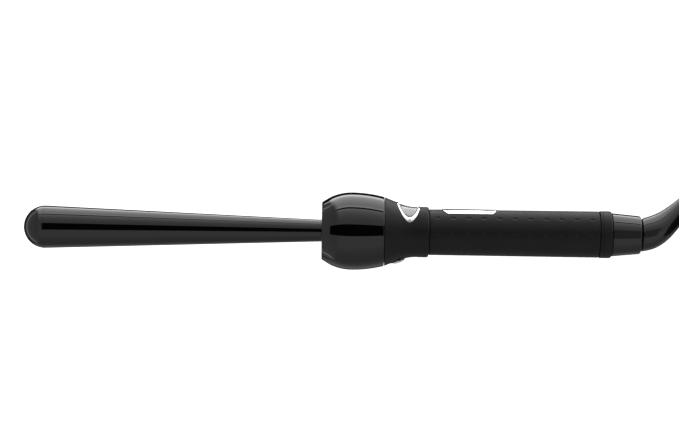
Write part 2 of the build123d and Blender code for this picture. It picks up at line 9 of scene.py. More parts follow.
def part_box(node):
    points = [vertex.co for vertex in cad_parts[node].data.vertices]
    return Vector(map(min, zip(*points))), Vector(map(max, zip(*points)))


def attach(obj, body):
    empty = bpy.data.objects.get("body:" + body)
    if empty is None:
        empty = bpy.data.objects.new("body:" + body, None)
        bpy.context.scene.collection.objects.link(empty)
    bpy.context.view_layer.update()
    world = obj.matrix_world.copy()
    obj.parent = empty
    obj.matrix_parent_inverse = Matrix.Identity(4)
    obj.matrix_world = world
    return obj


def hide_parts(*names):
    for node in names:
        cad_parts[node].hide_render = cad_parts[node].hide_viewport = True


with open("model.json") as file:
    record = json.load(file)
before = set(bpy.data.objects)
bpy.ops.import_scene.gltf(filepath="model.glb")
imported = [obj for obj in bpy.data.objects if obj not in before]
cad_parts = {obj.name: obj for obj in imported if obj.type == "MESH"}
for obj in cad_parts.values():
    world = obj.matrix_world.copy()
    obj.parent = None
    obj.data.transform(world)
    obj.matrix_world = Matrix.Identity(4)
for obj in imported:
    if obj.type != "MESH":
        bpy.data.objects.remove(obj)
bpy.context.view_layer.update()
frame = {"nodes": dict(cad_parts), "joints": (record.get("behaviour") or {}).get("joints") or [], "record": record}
joints = {joint["name"]: joint for joint in frame["joints"]}

# Wand pieces are drawn in millimetres about the wand's own axis: X from the guard's front face to the cord,
# Z to the rocker, and -Y to the camera. An angle round the axis is 0 at the rocker and positive on the
# camera's side. A point of an outline is (x, radius).
MM = 0.001
SWIVEL_X = 180.0
STEPS_ROUND = 160

# Barrel and guard
TIP_R, ROOT_R, TIP_CENTRE_X = 12.5, 6.4, -162.7
BARREL_END_X, BARREL_WALL = 19.0, 1.2
GUARD_FACE_R, GUARD_WALL = 16.9, 2.0
GUARD_CREASE = (4.8, 19.8)
GUARD_CROWN = (17.65, 22.76)
GUARD_REAR = (36.5, 20.35)

# Collar: a slope, then a flare into the neck
COLLAR_START_X, COLLAR_START_R, COLLAR_SLOPE = 36.9, 20.2, 0.40
FLARE_R, NECK_X = 28.5, 56.0

# Grip, rear ring and end cap
GRIP_START_X, GRIP_END_X = 63.0, 162.7
GRIP_FRONT_R, GRIP_REAR_R, GRIP_BORE_R = 13.45, 13.6, 12.06
RING_START_X, RING_END_X, RING_R = 163.0, 170.0, 13.82
CAP_START_X, CAP_END_X, CAP_FRONT_R, CAP_REAR_R = 170.4, 187.4, 12.7, 11.1

# Switch: its outlines are parabolas, each with a width and the height of its foot above the wand's axis
SWITCH_X = 51.2
BEZEL_WIDTH, BEZEL_FOOT = 4.82, 5.65
OPENING_WIDTH, OPENING_FOOT = 4.75, 8.5
ROCKER_WIDTH, ROCKER_FOOT = 4.4, 9.3
PIVOT_Z, ROCKER_REST = 5.0, 2.5
BUTTON_X, BUTTON_R, BUTTON_PROUD, BUTTON_RING_R = 45.4, 3.4, 1.4, 4.7

# Grip dimples and badge
DIMPLE_ANGLES = (51, 91, 131, 180, 229, 269, 309)
DIMPLE_FIRST_X, DIMPLE_PITCH, DIMPLES_IN_ROW = 67.8, 9.04, 11
DIMPLE_HALF_LENGTH, DIMPLE_HALF_WIDTH, DIMPLE_DEPTH = 1.75, 1.05, 0.32
BADGE_START_X, BADGE_END_X, BADGE_HALF_WIDTH, BADGE_BOW = 70.4, 103.0, 8.0, 3.2
BADGE_R, BADGE_GAP = 13.75, 0.3

# Strain-relief boot: the control points of its curve, and its radius at shares of the way along
BOOT_CURVE = [(188.1, 0, 0), (199.4, 0.3, 1.9), (209.6, 5.36, 13.2), (217.3, 5.5, 22.2)]
BOOT_RADII = [(0, 9.6), (0.14, 9.5), (0.28, 8.9), (0.5, 7.35), (0.68, 6.2), (0.84, 5.2), (1, 4.25)]

# Cord, in metres in the row's frame
CORD_R = 0.00325
LEAD_ROUTE = [(0.2071, 0.0222, 0.0054), (0.2154, 0.0322, 0.0050), (0.2272, 0.0377, 0.0045),
              (0.2400, 0.0377, 0.00425)]
TAIL_ROUTE = [(0.2366, 0.0377, 0.02375), (0.2460, 0.0377, 0.02375), (0.2539, 0.0374, 0.0250),
              (0.2615, 0.0368, 0.0275), (0.2687, 0.0358, 0.0309), (0.2763, 0.0345, 0.0331),
              (0.2841, 0.0332, 0.03405)]
COIL_CENTRE = Vector((0.27175, 0.0057, 0))
COIL_RUN, COIL_R, COIL_FLOOR = 0.0535, 0.032, 0.00425
COIL_TURNS, COIL_LAYERS = 7, 4
PLUG_HEADING = -8.0

# Tie, in millimetres: where on the coil it is, and the bundle of turns that it goes round
TIE_ANGLE, TIE_WIDTH, TIE_THICK = 270.0, 14.0, 0.9
BUNDLE_WIDTH, BUNDLE_MIDDLE_R, BUNDLE_CORNER_R = 18.1, 26.3, 3.4

# Camera, in millimetres in the wand's frame
CAMERA_X, CAMERA_Z, CAMERA_DISTANCE, CAMERA_ROLL = 10.3, 7.3, 1400.0, 0.82
VIEW_WIDTH = 399.4
SENSOR = 36.0

# Strength of the studio's light by its direction round X, in degrees from straight up towards +Y: a softbox
# with a dark gap along its upper edge and a bright lower rim on the +Y side, a dim fill on the -Y side and
# dark below.
STUDIO = [(-180, 0.03), (-157, 0.03), (-151, 0.36), (-138, 0.44), (-125, 0.34), (-105, 0.33), (-93, 0.4),
          (-77, 0.5), (-63, 0.6), (-49, 0.74), (-20, 0.74), (20, 0.66), (37, 0.8), (50, 1.05), (57, 1.35),
          (63, 1.55), (67, 1.9), (70.4, 2.2), (71.0, 0.0), (76.1, 0.0), (76.7, 4.0), (81, 3.3), (87, 2.6),
          (97, 2.85), (118, 2.9), (125, 3.0), (128, 4.1), (138.8, 4.3), (140, 0.02), (180, 0.0)]
BRIGHTEST = max(strength for _, strength in STUDIO)
# The same towards -X, by the height of the direction: a faint wall with a bright slit, and dark below
LEFT_WALL = [(-1, 0.06), (-0.56, 0.06), (-0.46, 0.5), (-0.31, 0.6), (-0.29, 2.2), (-0.25, 2.2), (-0.23, 0.6),
             (1, 0.62)]
LEFT_START, LEFT_END = -0.4, -0.52
CARD_HEIGHT = 0.185


# ---- geometry ----

def wand_place():
    """The wand's own frame, in millimetres, within the row's frame."""
    axis = Vector(joints["swivel"]["axis"]).normalized()
    to_rocker = Vector((0, 1, 0))
    place = Matrix((axis, to_rocker.cross(axis), to_rocker)).transposed().to_4x4()
    place.translation = Vector(joints["swivel"]["pos_m"]) - axis * SWIVEL_X * MM
    return place @ Matrix.Scale(MM, 4)


WAND = wand_place()


def on_axis(x, radius, angle):
    """The point at that radius and angle in radians round the wand's axis."""
    return (x, -radius * sin(angle), radius * cos(angle))


def skin(rows, wrap_rows=False, wrap_columns=False, caps=False):
    """Points and faces of a surface through rows of points."""
    count, width = len(rows), len(rows[0])
    points = [p for row in rows for p in row]
    faces = []
    for i in range(count if wrap_rows else count - 1):
        for j in range(width if wrap_columns else width - 1):
            a, b = i * width, (i + 1) % count * width
            k = (j + 1) % width
            faces.append((a + j, a + k, b + k, b + j))
    if caps:
        faces += [tuple(range(width))[::-1], tuple(range((count - 1) * width, count * width))]
    return points, faces


def piece(name, shape, body, slot, *nodes, place=WAND, sharp=40):
    """A mesh with smooth faces and sharp creases that rides on a body and stands for CAD nodes."""
    points, faces = shape
    mesh = bpy.data.meshes.new(name)
    mesh.from_pydata([place @ Vector(p) for p in points], [], faces)
    bm = bmesh.new()
    bm.from_mesh(mesh)
    bmesh.ops.remove_doubles(bm, verts=bm.verts, dist=1e-7)
    bmesh.ops.dissolve_degenerate(bm, edges=bm.edges, dist=1e-8)
    bmesh.ops.recalc_face_normals(bm, faces=bm.faces)
    shade(bm, sharp)
    bm.to_mesh(mesh)
    bm.free()
    mesh.materials.append(materials[slot])
    made = bpy.data.objects.new(name, mesh)
    bpy.context.scene.collection.objects.link(made)
    return settle(made, body, slot, *nodes)


def shade(bm, sharp):
    """Smooth faces, with a crease where two meet at more than that many degrees."""
    for face in bm.faces:
        face.smooth = True
    for edge in bm.edges:
        edge.smooth = len(edge.link_faces) != 2 or edge.calc_face_angle() < radians(sharp)


def settle(made, body, slot, *nodes):
    """Puts a piece on its body and hides the CAD nodes that it stands for. The slot is not used."""
    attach(made, body)
    if nodes:
        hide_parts(*nodes)
    return made


def lathe(outline, steps=STEPS_ROUND, closed=True):
    """An outline turned about the wand's axis."""
    rows = [[on_axis(x, r, 2 * pi * i / steps) for x, r in outline] for i in range(steps)]
    return skin(rows, wrap_rows=True, wrap_columns=closed)


def rounded(corners, steps=6):
    """A closed outline whose corners (x, radius, rounding) are turned by arcs."""
    outline = []
    count = len(corners)
    for i, (x, r, rounding) in enumerate(corners):
        here = Vector((x, r))
        before = Vector(corners[i - 1][:2]) - here
        after = Vector(corners[(i + 1) % count][:2]) - here
        if not rounding:
            outline.append((x, r))
            continue
        half = before.angle(after) / 2
        centre = here + (before.normalized() + after.normalized()).normalized() * rounding / sin(half)
        start = here + before.normalized() * rounding / tan(half) - centre
        end = here + after.normalized() * rounding / tan(half) - centre
        sweep = start.angle_signed(end)
        for k in range(steps + 1):
            turned = Matrix.Rotation(-sweep * k / steps, 2) @ start
            outline.append(tuple(centre + turned))
    return outline


def between(a, b, share):
    return (a[0] + (b[0] - a[0]) * share, a[1] + (b[1] - a[1]) * share)


def taper(start, end, steps):
    """Evenly spaced points from just after the start to the end."""
    return [(start[0] + (end[0] - start[0]) * i / steps, start[1] + (end[1] - start[1]) * i / steps)
            for i in range(1, steps + 1)]


def crown_arc(crown, start_x, end_x, foot, steps, inset=0.0):
    """Points on the arc that is level at the crown and passes through the foot, moved in by the inset."""
    run, drop = foot[0] - crown[0], crown[1] - foot[1]
    radius = (run**2 + drop**2) / (2 * drop)
    points = []
    for i in range(steps + 1):
        x = start_x + (end_x - start_x) * i / steps
        points.append((x, crown[1] - radius + sqrt(radius**2 - (x - crown[0]) ** 2) - inset))
    return points


# ---- materials ----

def material(name, colour, roughness, metallic=0.0, **sockets):
    """A plain material, with more of the shader's sockets set by name."""
    made = bpy.data.materials.new(name)
    made.use_nodes = True
    shader = made.node_tree.nodes["Principled BSDF"]
    values = {"Base Color": (*colour, 1), "Roughness": roughness, "Metallic": metallic}
    values.update({key.replace("_", " "): value for key, value in sockets.items()})
    for socket, value in values.items():
        shader.inputs[socket].default_value = value
    return made


def noise(made, scale, detail=3.0, stretch=(1, 1, 1)):
    """Noise in the object's own coordinates, finer as the scale grows, per metre."""
    tree = made.node_tree
    place = tree.nodes.new("ShaderNodeTexCoord")
    mapping = tree.nodes.new("ShaderNodeMapping")
    mapping.inputs["Scale"].default_value = stretch
    texture = tree.nodes.new("ShaderNodeTexNoise")
    texture.inputs["Scale"].default_value = scale
    texture.inputs["Detail"].default_value = detail
    tree.links.new(place.outputs["Object"], mapping.inputs["Vector"])
    tree.links.new(mapping.outputs["Vector"], texture.inputs["Vector"])
    return texture.outputs["Fac"]


def map_range(tree, value, from_min, from_max, to_min=0.0, to_max=1.0):
    """A value carried from one range to another, and held at its ends."""
    node = tree.nodes.new("ShaderNodeMapRange")
    node.inputs["From Min"].default_value = from_min
    node.inputs["From Max"].default_value = from_max
    node.inputs["To Min"].default_value = to_min
    node.inputs["To Max"].default_value = to_max
    tree.links.new(value, node.inputs["Value"])
    return node.outputs["Result"]


def spread_noise(tree, value, low, high):
    """Noise, most of which is between 0.3 and 0.7, spread from low to high."""
    return map_range(tree, value, 0.3, 0.7, low, high)


def vary_roughness(made, value, low, high):
    tree = made.node_tree
    tree.links.new(spread_noise(tree, value, low, high), tree.nodes["Principled BSDF"].inputs["Roughness"])


def vary_colour(made, value, dark, light):
    tree = made.node_tree
    mix = tree.nodes.new("ShaderNodeMix")
    mix.data_type = "RGBA"
    mix.inputs["A"].default_value = (*dark, 1)
    mix.inputs["B"].default_value = (*light, 1)
    tree.links.new(spread_noise(tree, value, 0, 1), mix.inputs["Factor"])
    tree.links.new(mix.outputs["Result"], tree.nodes["Principled BSDF"].inputs["Base Color"])


def bump(made, value, height):
    """Relief of that height in metres."""
    tree = made.node_tree
    relief = tree.nodes.new("ShaderNodeBump")
    relief.inputs["Distance"].default_value = height
    relief.inputs["Strength"].default_value = 1.0
    tree.links.new(value, relief.inputs["Height"])
    tree.links.new(relief.outputs["Normal"], tree.nodes["Principled BSDF"].inputs["Normal"])


def gloss(name, colour, roughness):
    """Hard gloss with a faint unevenness and slight handling haze."""
    made = material(name, colour, roughness)
    vary_roughness(made, noise(made, 60, 4), roughness * 0.8, roughness * 1.3)
    bump(made, noise(made, 180, 2), 2e-7)
    return made


def soft_touch(name, light, dark, roughness):
    """Matte elastic paint: a fine grain and a soft sheen at glancing angles."""
    made = material(name, light, roughness, Specular_IOR_Level=0.2)
    vary_colour(made, noise(made, 90, 5), dark, light)
    vary_roughness(made, noise(made, 250, 3), roughness * 0.93, roughness * 1.06)
    bump(made, noise(made, 2600, 4), 1.2e-5)
    return made


def moulded(name, colour, roughness, grain=1e-5):
    """Moulded plastic or rubber: a faint mottle and a fine grain of that height."""
    made = material(name, colour, roughness)
    dark = tuple(c * 0.8 for c in colour)
    vary_colour(made, noise(made, 120, 4), dark, colour)
    vary_roughness(made, noise(made, 300, 3), roughness * 0.9, roughness * 1.1)
    bump(made, noise(made, 1500, 3), grain)
    return made


def bright_metal(name, colour, roughness, scale=400, stretch=(1, 1, 1)):
    """Metal with a fine grain, brushed along the axis that the stretch makes small."""
    made = material(name, colour, roughness, metallic=1.0)
    vary_roughness(made, noise(made, scale, 4, stretch), roughness * 0.7, roughness * 1.4)
    bump(made, noise(made, scale * 2, 3, stretch), 8e-7)
    return made


def woven(name, colour):
    """Cloth of crossing threads with a soft sheen."""
    made = material(name, colour, 0.85, Sheen_Weight=0.4)
    tree = made.node_tree
    place = tree.nodes.new("ShaderNodeTexCoord")
    weave = tree.nodes.new("ShaderNodeTexBrick")
    weave.inputs["Scale"].default_value = 900
    weave.inputs["Mortar Size"].default_value = 0.03
    tree.links.new(place.outputs["Object"], weave.inputs["Vector"])
    bump(made, weave.outputs["Fac"], 8e-5)
    return made


def clear(name, colour, roughness):
    """Hazy clear plastic or glass."""
    made = material(name, colour, roughness, Transmission_Weight=0.6, IOR=1.5)
    vary_roughness(made, noise(made, 800), roughness * 0.8, roughness * 1.3)
    return made


# Each slot's kind of material, its colour and roughness, and what else that kind takes
FINISHES = {
    "barrel_coating": (gloss, (0.0012, 0.0012, 0.0014), 0.045),
    "guard_gloss": (gloss, (0.0012, 0.0012, 0.0014), 0.022),
    "soft_touch": (soft_touch, (0.0058, 0.0058, 0.006), (0.0045, 0.0045, 0.0047), 0.5),
    "cap_satin": (moulded, (0.003, 0.003, 0.0033), 0.055, 5e-7),
    "boot_rubber": (moulded, (0.004, 0.004, 0.0045), 0.13, 1e-6),
    "bright_chrome": (bright_metal, (0.86, 0.87, 0.88), 0.1),
    "silver_switch": (bright_metal, (0.17, 0.172, 0.17), 0.22, 900),
    "badge_silver": (bright_metal, (0.9, 0.9, 0.91), 0.11, 1800, (0.05, 1, 1)),
    "indicator_clear": (clear, (0.5, 0.5, 0.5), 0.1),
    "spreader_aluminium": (bright_metal, (0.75, 0.76, 0.78), 0.35),
    "heater_ceramic": (moulded, (0.8, 0.76, 0.68), 0.6),
    "zinc_steel": (bright_metal, (0.62, 0.62, 0.6), 0.3),
    "phenolic": (moulded, (0.25, 0.12, 0.05), 0.45),
    "mica": (moulded, (0.5, 0.42, 0.28), 0.3, 3e-5),
    "nylon_black": (moulded, (0.012, 0.012, 0.013), 0.5),
    "board_green": (moulded, (0.02, 0.16, 0.06), 0.35),
    "component_black": (moulded, (0.02, 0.02, 0.022), 0.4),
    "capacitor_red": (moulded, (0.4, 0.03, 0.03), 0.25),
    "sensor_glass": (clear, (0.8, 0.85, 0.85), 0.05),
    "lead_sleeve": (moulded, (0.6, 0.57, 0.5), 0.5, 3e-5),
    "contact_brass": (bright_metal, (0.78, 0.6, 0.3), 0.25),
    "cord_vinyl": (moulded, (0.012, 0.012, 0.013), 0.42, 5e-6),
    "tie_fabric": (woven, (0.015, 0.015, 0.017)),
}
materials = {name: kind(name, *values) for name, (kind, *values) in FINISHES.items()}


def paint_cad_nodes():
    """Gives every CAD node its slot's material."""
    for row in frame["record"]["subparts"]:
        mesh = frame["nodes"][row["node"]].data
        mesh.materials.clear()
        mesh.materials.append(materials[row["material_slot"]])


# ---- barrel and guard ----

def make_barrel():
    """A tapered tube, and a domed cap that meets it at a fine seam."""
    seam = 0.1
    tip_bore_r, root_bore_r = TIP_R - BARREL_WALL, ROOT_R - BARREL_WALL
    rear = rounded([(TIP_CENTRE_X, TIP_R, seam), (0, ROOT_R, 0), (BARREL_END_X, ROOT_R, 0.2),
                    (BARREL_END_X, root_bore_r, 0), (0, root_bore_r, 0), (TIP_CENTRE_X, tip_bore_r, 0)])
    tip_edge, rest = rear[:7], rear[8:]
    tube = tip_edge + taper(tip_edge[-1], (0, ROOT_R), 12) + rest
    piece("barrel_tube_skin", lathe(tube), "wand", "barrel_coating", "barrel_tube")
    plug_r, lip_r, lip_x = 10, TIP_R - 2.2, TIP_CENTRE_X + 4
    dome = [(TIP_CENTRE_X - TIP_R * cos(a), TIP_R * sin(a)) for a in (pi / 2 * i / 40 for i in range(40))]
    edge = [(TIP_CENTRE_X - seam, TIP_R), (TIP_CENTRE_X - seam * 0.3, TIP_R - seam * 0.3),
            (TIP_CENTRE_X, TIP_R - seam), (TIP_CENTRE_X, lip_r), (lip_x, lip_r)]
    inside = [(TIP_CENTRE_X - plug_r * cos(a), plug_r * sin(a))
              for a in (pi / 2 * i / 12 for i in range(12, -1, -1))]
    piece("barrel_tip_skin", lathe(dome + edge + inside, closed=False), "wand", "barrel_coating",
          "barrel_tip_cap")


def make_guard():
    """A thin bulb: a flat face, a straight slope to a crease, and a crown down to the rear edge."""
    bore_r, chamfer = 6.8, 0.3
    crease_x, crease_r = GUARD_CREASE
    rear_x, rear_r = GUARD_REAR
    outer = [(0, bore_r + chamfer), (0, GUARD_FACE_R - 0.3), (0.05, GUARD_FACE_R - 0.1),
             (0.2, GUARD_FACE_R + 0.08)]
    outer += taper(outer[-1], (crease_x - 0.5, crease_r - 0.32), 4)
    outer += crown_arc(GUARD_CROWN, crease_x + 0.5, GUARD_CROWN[0], GUARD_CREASE, steps=32)
    outer += crown_arc(GUARD_CROWN, GUARD_CROWN[0], rear_x - 0.25, GUARD_REAR, steps=32)[1:]
    outer += [(rear_x - 0.06, rear_r - 0.08), (rear_x, rear_r - 0.3)]
    inner = crown_arc(GUARD_CROWN, rear_x, GUARD_CROWN[0], GUARD_REAR, inset=GUARD_WALL, steps=10)
    inner += crown_arc(GUARD_CROWN, GUARD_CROWN[0], crease_x + 1, GUARD_CREASE, inset=GUARD_WALL, steps=8)[1:]
    inner += [(GUARD_WALL, GUARD_FACE_R - 1.5), (GUARD_WALL, bore_r), (chamfer, bore_r)]
    piece("guard_skin", lathe(outer + inner, steps=224), "wand", "guard_gloss", "guard_shell", sharp=50)


# ---- collar and switches ----

def collar_radius(x):
    """The radius of the collar's slope and flare, and of the neck behind them."""
    lean = atan(COLLAR_SLOPE)
    flare_start_x = NECK_X - FLARE_R * sin(lean)
    if x < flare_start_x:
        return COLLAR_START_R - COLLAR_SLOPE * (x - COLLAR_START_X)
    neck_r = COLLAR_START_R - COLLAR_SLOPE * (flare_start_x - COLLAR_START_X) - FLARE_R * (1 - cos(lean))
    short_of_neck = max(0.0, NECK_X - x)
    return neck_r + FLARE_R - sqrt(FLARE_R**2 - short_of_neck**2)


def switch_outline(width, foot, steps=144):
    """A parabola seen from the side, wrapped over the collar: a closed loop of (x, angle)."""
    halves = {}
    for side in (-1, 1):
        half = sqrt(width * (collar_radius(SWITCH_X) - foot))
        for _ in range(30):
            half = sqrt(width * (collar_radius(SWITCH_X + side * half) - foot))
        halves[side] = half
    loop = []
    for i in range(steps):
        turn = 2 * pi * i / steps
        reach = sin(turn)
        x = SWITCH_X + reach * halves[1 if reach > 0 else -1]
        height = foot + (x - SWITCH_X) ** 2 / width
        angle = acos(min(1.0, height / collar_radius(x)))
        loop.append((x, angle if cos(turn) > 0 else -angle))
    return loop


def make_bezel():
    """A chrome band with a crowned face. Its section is (share of the width, height off the collar)."""
    section = [(0.2, -1.3), (0.1, -0.5), (0, -0.2), (0.03, -0.02), (0.1, 0.14), (0.22, 0.25), (0.38, 0.31),
               (0.55, 0.33), (0.72, 0.29), (0.86, 0.18), (0.95, 0.02), (1, -0.25), (1, -1.3)]
    inner = switch_outline(OPENING_WIDTH, OPENING_FOOT)
    outer = switch_outline(BEZEL_WIDTH, BEZEL_FOOT)
    rows = []
    for a, b in zip(inner, outer):
        spots = [(*between(a, b, share), height) for share, height in section]
        rows.append([on_axis(x, collar_radius(x) + height, angle) for x, angle, height in spots])
    piece("bezel_skin", skin(rows, wrap_rows=True, wrap_columns=True), "wand", "bright_chrome",
          "switch_bezel", sharp=60)


def rocker_lift(angle, share):
    """The face's height off the collar: a little low, with a finger dish each side that ends at the edge."""
    below, depth = 0.12, 0.25
    dish = exp(-(((abs(angle) - radians(30)) / radians(13)) ** 2))
    return -below - depth * dish * (1 - share**4)


def rocker_fall(angle):
    """How far the rocker falls away below the collar's surface towards its feet."""
    return 0.95 * (abs(angle) / radians(55)) ** 2.5


def tip_rocker(point):
    """Turns a point about the rocker's pin from mid travel to rest."""
    turn = Matrix.Rotation(radians(ROCKER_REST), 4, "X")
    pin = Vector((0, 0, PIVOT_Z))
    return tuple(turn @ (Vector(point) - pin) + pin)


def make_rocker():
    """A shell whose rows run from the middle of its underside, round its edge, to the middle of its face."""
    loop = switch_outline(ROCKER_WIDTH, ROCKER_FOOT)
    edge = [(0.0, -2.0), (0.5, -2.0), (0.9, -2.0), (0.97, -0.7), (1, -0.36), (0.985, -0.24), (0.93, -0.14)]
    face_edge, face_rows = 0.93, 16
    face = [face_edge - face_edge * i / face_rows for i in range(1, face_rows + 1)]
    middle = (SWITCH_X, 0.0)
    rows = []
    for share, height in edge + [(share, None) for share in face]:
        row = []
        for spot in loop:
            x, angle = between(middle, spot, share)
            lift = rocker_lift(angle, share) if height is None else height
            row.append(tip_rocker(on_axis(x, collar_radius(x) + lift - rocker_fall(angle), angle)))
        rows.append(row)
    piece("rocker_skin", skin(rows, wrap_columns=True), "rocker", "silver_switch", "rocker_button")


def button_place():
    """A frame whose X points out of the collar's underside at the mode button."""
    slope = atan2(1, COLLAR_SLOPE)
    return WAND @ Matrix.Translation((BUTTON_X, 0, -collar_radius(BUTTON_X))) @ Matrix.Rotation(slope, 4, "Y")


def make_mode_button():
    """A domed button on its flange and stem, in a black ring."""
    stem_x, stem_r = -8.4, 1.2
    flange_x, flange_top_x, flange_r = -3.9, -3.1, 4.0
    edge_r, edge_x, edge_drop = 1.0, 0.65, 0.3
    dome_r, dome_drop = BUTTON_R - edge_r, 0.22
    stem = [(stem_x, 0), (stem_x, stem_r), (flange_x, stem_r), (flange_x, flange_r), (flange_top_x, flange_r),
            (flange_top_x, BUTTON_R)]
    edge = [(edge_x + (BUTTON_PROUD - edge_x - edge_drop) * sin(a), dome_r + edge_r * cos(a))
            for a in (radians(80) * i / 12 for i in range(13))]
    dome = [(BUTTON_PROUD - dome_drop * (1 - i / 8) ** 2, dome_r * (1 - i / 8)) for i in range(9)]
    piece("mode_button_skin", lathe(stem + edge + dome, closed=False), "mode_button", "bright_chrome",
          "mode_button", place=button_place())
    ring_low, ring_high, ring_bore_r = -2.4, 0.35, BUTTON_R + 0.3
    ring = rounded([(ring_low, ring_bore_r, 0), (ring_low, BUTTON_RING_R, 0), (ring_high, BUTTON_RING_R, 0.4),
                    (ring_high, ring_bore_r, 0.2)])
    piece("button_ring_skin", lathe(ring), "wand", "guard_gloss", "mode_button_ring", place=button_place())


# ---- grip, badge, ring and cap ----

def sample(start, end, centres, reach, fine, coarse):
    """Values from start to end, close together near the centres and sparse between them."""
    values, value = [start], start
    while value < end:
        near = any(abs(value - c) < reach or abs(value + fine - c) < reach for c in centres)
        gap = min((c - reach - value for c in centres if c - reach > value), default=coarse)
        value += fine if near else max(fine, min(coarse, gap))
        values.append(min(value, end))
    return values


def dimple_depth(x, angle, radius):
    """How deep the nearest dimple is at a place on the grip, with the angle in degrees."""
    row_gap = min(abs((angle - a + 180) % 360 - 180) for a in DIMPLE_ANGLES)
    column = min(max(round((x - DIMPLE_FIRST_X) / DIMPLE_PITCH), 0), DIMPLES_IN_ROW - 1)
    along = (x - DIMPLE_FIRST_X - column * DIMPLE_PITCH) / DIMPLE_HALF_LENGTH
    across = radians(row_gap) * radius / DIMPLE_HALF_WIDTH
    return DIMPLE_DEPTH * max(0.0, 1 - along**2 - across**2) ** 0.8


def grip_radius(x):
    share = (x - GRIP_START_X) / (GRIP_END_X - GRIP_START_X)
    return GRIP_FRONT_R + (GRIP_REAR_R - GRIP_FRONT_R) * share


def badge_outline(margin, steps=24):
    """The badge seen from above: straight sides and bowed ends, as (x, y)."""
    half, bow = BADGE_HALF_WIDTH + margin, BADGE_BOW
    radius = (half**2 + bow**2) / (2 * bow)
    reach = asin(half / radius)
    arc = [reach * (2 * i / steps - 1) for i in range(steps + 1)]
    right = [(BADGE_END_X + margin - radius + radius * cos(a), radius * sin(a)) for a in arc]
    left = [(BADGE_START_X - margin + radius - radius * cos(a), -radius * sin(a)) for a in arc]
    return subdivided(right + left, 0.8)


def subdivided(loop, longest):
    """A closed outline with no edge longer than that."""
    points = []
    for a, b in zip(loop, loop[1:] + loop[:1]):
        parts = max(1, round(hypot(b[0] - a[0], b[1] - a[1]) / longest))
        points += [between(a, b, k / parts) for k in range(parts)]
    return points


def grip_end(x, radius, inwards):
    """An eased end of the grip from its bore outwards."""
    return [(x, GRIP_BORE_R), (x, radius - 0.5), (x + inwards * 0.1, radius - 0.2),
            (x + inwards * 0.25, radius - 0.06)]


def make_grip():
    """A sleeve with eased ends, its mesh fine at the dimples and sparse between them."""
    eased = 0.45
    columns = [DIMPLE_FIRST_X + i * DIMPLE_PITCH for i in range(DIMPLES_IN_ROW)]
    xs = sample(GRIP_START_X + eased, GRIP_END_X - eased, columns, reach=2.0, fine=0.25, coarse=2.0)
    reach, fine = degrees(1.35 / GRIP_REAR_R), degrees(0.2 / GRIP_REAR_R)
    angles = sample(0, 360, DIMPLE_ANGLES, reach, fine, coarse=4.0)[:-1]
    front = grip_end(GRIP_START_X, GRIP_FRONT_R, 1)
    rear = grip_end(GRIP_END_X, GRIP_REAR_R, -1)
    rows = []
    for angle in angles:
        line = front + [(x, grip_radius(x) - dimple_depth(x, angle, grip_radius(x))) for x in xs] + rear[::-1]
        rows.append([on_axis(x, r, radians(angle)) for x, r in line])
    sleeve = piece("grip_skin", skin(rows, wrap_rows=True, wrap_columns=True), "wand", "soft_touch",
                   "grip_sleeve", sharp=30)
    cut_window(sleeve)


def cut_window(sleeve):
    """Cuts the badge's window through the sleeve."""
    loop = badge_outline(BADGE_GAP)
    inside, outside = 2.0, 18.0
    points, faces = skin([[(x, y, z) for x, y in loop] for z in (inside, outside)], wrap_columns=True,
                         caps=True)
    mesh = bpy.data.meshes.new("window")
    mesh.from_pydata([WAND @ Vector(p) for p in points], [], faces)
    cutter = bpy.data.objects.new("window", mesh)
    bpy.context.scene.collection.objects.link(cutter)
    cut = sleeve.modifiers.new("window", "BOOLEAN")
    cut.object, cut.operation, cut.solver = cutter, "DIFFERENCE", "EXACT"
    shown = sleeve.evaluated_get(bpy.context.evaluated_depsgraph_get())
    sleeve.data = bpy.data.meshes.new_from_object(shown)
    sleeve.modifiers.clear()
    bpy.data.objects.remove(cutter)
    bm = bmesh.new()
    bm.from_mesh(sleeve.data)
    shade(bm, 30)
    bm.to_mesh(sleeve.data)
    bm.free()


def make_badge():
    """A curved plate with an eased edge. Its section is (share of the way out, height off its radius)."""
    loop = badge_outline(0.0)
    middle = ((BADGE_START_X + BADGE_END_X) / 2, 0.0)
    face_edge, face_low, crown, face_rows = 0.96, 0.02, 0.05, 14
    section = [(0.0, -1.6), (0.5, -1.6), (1, -1.6), (1, -0.3), (0.994, -0.12), (0.98, -0.02),
               (face_edge, face_low)]
    section += [(face_edge * (1 - i / face_rows), face_low + crown * i / face_rows)
                for i in range(1, face_rows + 1)]
    rows = []
    for share, lift in section:
        spots = [between(middle, spot, share) for spot in loop]
        rows.append([on_axis(x, BADGE_R + lift, asin(-y / BADGE_R)) for x, y in spots])
    piece("badge_skin", skin(rows, wrap_columns=True), "wand", "badge_silver", "badge_plate")


def make_ring():
    """A ring with a fine groove near its front and a rounded rear edge."""
    groove_x, groove = RING_START_X + 1.7, 0.22
    outline = rounded([(RING_START_X, GRIP_BORE_R, 0), (RING_START_X, RING_R, 0.6),
                       (groove_x - groove, RING_R, 0.1), (groove_x, RING_R - groove, 0.08),
                       (groove_x + groove, RING_R, 0.1), (RING_END_X, RING_R, 1.1),
                       (RING_END_X, GRIP_BORE_R, 0)])
    piece("ring_skin", lathe(outline), "wand", "soft_touch", "rear_ring")


